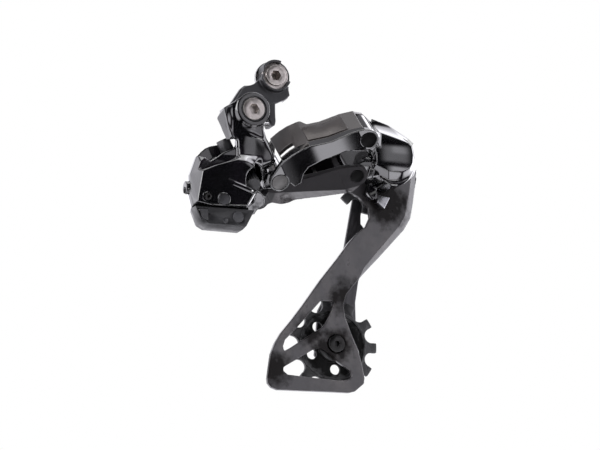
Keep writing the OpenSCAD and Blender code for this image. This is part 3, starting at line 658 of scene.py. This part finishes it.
def b_knuckle_shell():
    ridge_bend = [disc_y((-16.5, -63.6), 0.9, y) for y in (-14.8, -12)]
    web = [(-9, -60.9), (-3.8, -54.9), (-0.8, -60.2), (-2.4, -63)]
    adds = [
        node_copy("b_knuckle"),
        # left face of the wing, leaning back towards the wheel
        hull(at_y([(-29.6, -21.6), (-22, -16), (-20, -24), (-22.6, -36.4), (-23.4, -36.4)], -14),
             at_y([(-32.4, -25.6), (-30.4, -21.6), (-22, -16), (-23, -36), (-27, -36.8)], -9)),
        # ridge that runs from the front face to the lower pivot
        hull(disc_y((-28.6, -59.4), 0.7, -14.2), disc_y((-28.6, -59.4), 0.7, -12.5), *ridge_bend),
        hull(*ridge_bend, disc_y((-5.5, -62.6), 0.8, 0), disc_y((-5.5, -62.6), 0.8, 3)),
        neck_skin(),
        # web beside the lower pivot
        hull(at_y(web, -0.6), at_y(web, 2)),
    ]
    return stand_for(shell("b_knuckle_body", adds, voxel=0.3, smooth=6, material="knuckle_black",
                           shape=sculpt_knuckle), "b_knuckle", "b_knuckle")


def neck_skin():
    """Smooth front over the neck's blocks, clear of the return spring's pocket."""
    skin = hull(at_y([(-22.6, -31), (-15, -30.2), (-13.8, -38), (-15, -46), (-21.6, -46)], -13.95),
                at_y([(-9.4, -29.2), (-7.6, -36), (-4.6, -42), (-3.4, -46), (-8, -49.5)], -12.2),
                at_y([(-22.6, -31), (-7.4, -29), (-6.4, -33), (-0.4, -44.8), (-1.6, -47.6), (-8, -51), (-20, -49)],
                     -8.5))
    pocket = rod_pin((-13.4, 36), 5.2, -60, -33.6)
    cut(skin, pocket)
    drop(pocket)
    return skin


def from_b_axle(x, z):
    return math.hypot(x - B_AXLE[0], z - B_AXLE[1])


def neck_zone(x, y, z):
    """The neck's front, between the axle's boss and the housing."""
    boss = fade(from_b_axle(x, z), 9.6, 11.2)
    return boss * fade(y, -3, -6) * fade(z, -28, -30.5) * fade(z, -53, -48.5) * fade(x, -22.4, -20.6)


def edge_zone(x, y, z):
    """The housing's left front edge."""
    return fade(x, -36, -39) * fade(y, -7, -10) * fade(z, -52, -55) * fade(z, -72, -69)


def wing_zone(x, y, z):
    """The wing's front, beside the axle's boss."""
    boss = fade(from_b_axle(x, z), 9.4, 11)
    return boss * fade(y, -9, -12) * fade(z, -36, -33) * fade(x, -28.2, -26.4)


# Ridge across the neck: start and run in (X, Z)
NECK_RIDGE = (-18.8, -33.0)
NECK_RIDGE_RUN = (11, -2.9)


def sculpt_knuckle(obj):
    """Leans the housing's front back to the left and down, raises a ridge on the neck and hollows the wing a little."""
    run_length = math.hypot(*NECK_RIDGE_RUN)
    relax_zone(obj, neck_zone, 220)
    relax_zone(obj, edge_zone, 24)
    for vertex in obj.data.vertices:
        x, y, z = vertex.co / MM
        reach = fade(y, -9, -13) * fade(z, -44, -50) * fade(x, -8, -14)
        move = reach * (-0.07 * (x + 36) - 0.09 * (z + 68))
        # narrow ridge that catches the light across the neck
        dx, dz = x - NECK_RIDGE[0], z - NECK_RIDGE[1]
        along = (dx * NECK_RIDGE_RUN[0] + dz * NECK_RIDGE_RUN[1]) / run_length
        off = (dz * NECK_RIDGE_RUN[0] - dx * NECK_RIDGE_RUN[1]) / run_length
        move -= 0.45 * math.exp(-(off / 0.75) ** 2) * fade(along, 0, 3) * fade(along, 12.5, 9.5) * fade(y, -9, -11)
        # hollow between the wing's edge and the boss
        reach = fade(y, -10, -13) * fade(from_b_axle(x, z), 9.0, 10.6)
        if reach > 0:
            move += reach * 1.6 * math.exp(-((x + 24.6) / 3.4) ** 2 - ((z + 28.2) / 8) ** 2)
        vertex.co.y += move * MM
    relax_zone(obj, wing_zone, 40)


def spline_barrel():
    """Ridged sleeve around the return spring, with its axis along the pins."""
    centre = (-13.9, 37.4)
    steps = 18 * 4
    top, root = (circle(centre, r, steps) for r in (3.9, 3.3))
    outline = [(top if i % 4 in (1, 2) else root)[i] for i in range(steps)]
    obj = loft([pin_point(u, v, -49.2) for u, v in outline], [pin_point(u, v, -34) for u, v in outline])
    obj.name = "return_spring_sleeve"
    paint(obj, "black_plastic")
    return stand_for(obj, "b_knuckle", "return_spring")


# ---------------------------------------------------------------- links

def crown_arm(obj):
    """Gives the arm's outboard face a slow wave along its length and a slight crown across it."""
    for vertex in obj.data.vertices:
        s, t, w = link_place(*(vertex.co / MM), P1)
        if w > ARM_W + 2:
            continue
        wave = -2.0 * math.sin(math.pi * min(1.0, max(0.0, (s - 4) / 44)))
        push_along_pins(vertex, (wave - 0.02 * t) * fade(w, ARM_W + 2, ARM_W + 0.5))


def outer_link_shell():
    return stand_for(shell("outer_link_body", [node_copy("outer_link")], voxel=0.25, smooth=5,
                           material="link_black", shape=crown_arm), "outer_link", "outer_link")


def fold_underside(obj):
    """Turns the lower part of the lower link's outboard face back into a wide bevel."""
    for vertex in obj.data.vertices:
        s, t, w = link_place(*(vertex.co / MM), P2)
        face_w = np.interp(s, [5, 10, 42.5], [-30.3, -33.6, -49.3])
        below = t + np.interp(s, [7.3, 23.4, 42.3, 47], [2.4, -0.6, -4.4, -5.6])
        if s < 7 or s > 46 or below < 0 or w > face_w + 7:
            continue
        ends = fade(s, 8, 18) * fade(s, 46, 43)
        push_along_pins(vertex, ends * min(0.7 * below, 5.5) * fade(w, face_w + 7, face_w + 5.5))


def inner_link_shell():
    return stand_for(shell("inner_link_body", [node_copy("inner_link")], voxel=0.25, smooth=4, slot_name="satin_link",
                           shape=fold_underside), "inner_link", "inner_link")


def bracket_link_shell():
    waist = rod_y((-15.6, 2.6), 8.6, -12, 0)
    return stand_for(shell("bracket_link_body", [node_copy("bracket_link")], [waist], voxel=0.25, smooth=6,
                           slot_name="satin_alloy"), "bracket_link", "bracket_link")


# ---------------------------------------------------------------- cage

def bevel_cage(obj):
    """Wide polished bevel down the outer plate's front edge."""
    edge = [(83.4, -44), (82.6, -55), (80.4, -67.1), (76.6, -73.7), (62.7, -89.1), (50.5, -102.8)]
    count = len(obj.data.vertices)
    co = np.empty(count * 3)
    obj.data.vertices.foreach_get("co", co)
    co = co.reshape(-1, 3) / MM
    dist = np.full(count, 1e9)
    for (x0, z0), (x1, z1) in zip(edge, edge[1:]):
        d = np.array([x1 - x0, z1 - z0])
        p = co[:, [0, 2]] - np.array([x0, z0])
        t = np.clip(p @ d / (d @ d), 0, 1)
        dist = np.minimum(dist, np.linalg.norm(p - t[:, None] * d, axis=1))
    front = np.clip((5.6 - co[:, 1]) / 1.6, 0, 1)
    width = np.interp(co[:, 2], [-104, -96, -60, -44], [0.1, 2.6, 4.2, 3.2])
    co[:, 1] += front * np.clip((width - dist) * 0.5, 0, 1.9)
    obj.data.vertices.foreach_set("co", (co * MM).ravel())


def outer_plate_shell():
    # widens the opening below the tension pulley's hub
    window = slab([(34.1, -143.6), (45.6, -150.6), (46.3, -152), (46.2, -153.8), (45, -155.2), (41.7, -156),
                   (28, -155.4), (28, -147)], -2, 9)
    return stand_for(shell("outer_plate_body", [node_copy("outer_plate")], [window], voxel=0.3, smooth=4,
                           slot_name="cage_carbon", shape=bevel_cage), "cage", "outer_plate")


p_knuckle_shell()
b_knuckle_shell()
outer_plate_shell()
outer_link_shell()
inner_link_shell()
bracket_link_shell()
spline_barrel()

# ---------------------------------------------------------------- studio

# What the lamps point at, in metres
CENTRE = (0.015, 0, -0.08)


def area_light(name, place, size, power):
    """Lamp at a place in metres, aimed at the part."""
    data = bpy.data.lights.new(name, "AREA")
    data.shape = "RECTANGLE"
    data.size, data.size_y = size
    data.energy = power
    lamp = bpy.data.objects.new(name, data)
    lamp.location = place
    lamp.rotation_mode = "QUATERNION"
    lamp.rotation_quaternion = (Vector(place) - Vector(CENTRE)).to_track_quat("Z", "Y")
    bpy.context.scene.collection.objects.link(lamp)


class Panels(Tree):
    """Sums on the direction of a reflection."""

    def product(self, first, *rest):
        for value in rest:
            first = self.maths("MULTIPLY", first, value)
        return first

    def total(self, first, *rest):
        for value in rest:
            first = self.maths("ADD", first, value)
        return first

    def band(self, socket, low, high, a=0.0, b=1.0):
        """Smooth step from a at low to b at high."""
        return self.ramp(socket, low, high, a, b, "SMOOTHSTEP")

    def window(self, socket, low, high, soft):
        """1 between low and high, fading over soft."""
        return self.product(self.band(socket, low - soft, low + soft), self.band(socket, high + soft, high - soft))


WORLD_LEVEL = 0.74
WORLD_COLOR = (0.95, 0.94, 1.0, 1)


def studio_world():
    """White to the camera; to reflections a dark studio with soft panels around the part."""
    world = bpy.data.worlds.new("studio")
    world.use_nodes = True
    bpy.context.scene.world = world
    tree = world.node_tree
    tree.nodes.clear()
    m = Panels(tree)
    split = m.node("ShaderNodeSeparateXYZ")
    m.link(m.node("ShaderNodeTexCoord").outputs["Generated"], split.inputs[0])
    x, y, z = (split.outputs[k] for k in "XYZ")

    left = m.product(m.band(x, -0.6, -0.8, 0.0, 4.0), m.band(z, -0.75, -0.5))
    right = m.product(m.band(x, 0.7, 0.86, 0.0, 5.0), m.band(z, -0.8, -0.5))
    above = m.product(m.band(z, 0.5, 0.75, 0.0, 0.6), m.band(y, -0.75, -0.3))
    # three panels below, side by side
    stripes = m.total(m.product(m.window(x, -0.35, 0.09, 0.05), 3.4), m.product(m.window(x, 0.27, 0.495, 0.03), 4.8),
                      m.product(m.window(x, 0.82, 0.95, 0.05), 1.6))
    below = m.product(stripes, m.band(z, -0.62, -0.78))
    # a panel in front at the right, brightest at its top
    front = m.total(
        m.product(m.band(y, -0.6, -0.8, 0.0, 1.8), m.window(z, 0.12, 0.5, 0.05), m.window(x, 0.28, 0.56, 0.05)),
        m.product(m.band(y, -0.6, -0.75, 0.0, 1.4), m.window(z, 0.34, 0.5, 0.04), m.window(x, 0.38, 0.54, 0.04)))
    low_front = m.product(m.band(y, -0.7, -0.8, 0.0, 4.6), m.window(z, -0.16, 0.0, 0.03), m.band(x, 0.3, 0.42))
    behind = m.band(y, 0.6, 0.85, 0.0, 2.0)
    over_right = m.product(m.window(x, 0.33, 0.66, 0.06), m.band(z, 0.6, 0.75, 0.0, 5.5), m.band(y, -0.55, -0.3))
    panels = m.total(left, right, above, below, front, low_front, behind, over_right)

    studio = m.node("ShaderNodeBackground")
    studio.inputs["Color"].default_value = WORLD_COLOR
    m.link(m.product(panels, WORLD_LEVEL), studio.inputs["Strength"])
    white = m.node("ShaderNodeBackground")
    white.inputs["Color"].default_value = (1, 1, 1, 1)
    mix = m.node("ShaderNodeMixShader")
    m.link(m.node("ShaderNodeLightPath").outputs["Is Camera Ray"], mix.inputs["Fac"])
    m.link(studio.outputs[0], mix.inputs[1])
    m.link(white.outputs[0], mix.inputs[2])
    m.link(mix.outputs[0], m.node("ShaderNodeOutputWorld").inputs["Surface"])


FLOOR_Z = -0.68


def floor():
    s = Shader("floor", (0.86, 0.86, 0.86), rough=0.7)
    s.mottle(3, (0.83, 0.83, 0.84), 0.4, 0.7)
    mesh = bpy.data.meshes.new("floor")
    built = bmesh.new()
    bmesh.ops.create_grid(built, x_segments=2, y_segments=2, size=6)
    built.to_mesh(mesh)
    built.free()
    obj = bpy.data.objects.new("floor", mesh)
    obj.location = (0, 0, FLOOR_Z)
    obj.data.materials.append(s.mat)
    bpy.context.scene.collection.objects.link(obj)
    obj.visible_glossy = False


# The main view: from the drive side, a little behind and below, with a long lens
AZIMUTH = math.radians(-20)
ELEVATION = math.radians(-12)
VIEW_WIDTH = 0.3129
VIEW_RIGHT = 0.01549
VIEW_UP = -0.0759
LENS = 200


def camera():
    back = Vector((math.sin(AZIMUTH) * math.cos(ELEVATION), -math.cos(AZIMUTH) * math.cos(ELEVATION),
                   math.sin(ELEVATION)))
    right = Vector((math.cos(AZIMUTH), math.sin(AZIMUTH), 0))
    up = back.cross(right)
    data = bpy.data.cameras.new("camera")
    data.lens = LENS
    distance = VIEW_WIDTH / 2 / math.tan(math.atan(data.sensor_width / 2 / LENS))
    obj = bpy.data.objects.new("camera", data)
    obj.location = right * VIEW_RIGHT + up * VIEW_UP + back * distance
    obj.rotation_mode = "QUATERNION"
    obj.rotation_quaternion = (-back).to_track_quat("-Z", "Y")
    data.clip_start = 0.05
    data.clip_end = 20
    bpy.context.scene.collection.objects.link(obj)
    bpy.context.scene.camera = obj


camera()
floor()
studio_world()
area_light("key_left", (-0.75, -0.55, 0.35), (0.5, 0.7), 5)
area_light("rim_right", (0.65, 0.35, 0.15), (0.35, 0.8), 1.5)
area_light("top", (0.0, -0.1, 0.75), (0.7, 0.5), 3)
area_light("front_low", (0.35, -0.9, -0.55), (0.45, 0.2), 1.2)
bpy.context.scene.view_settings.view_transform = "Standard"
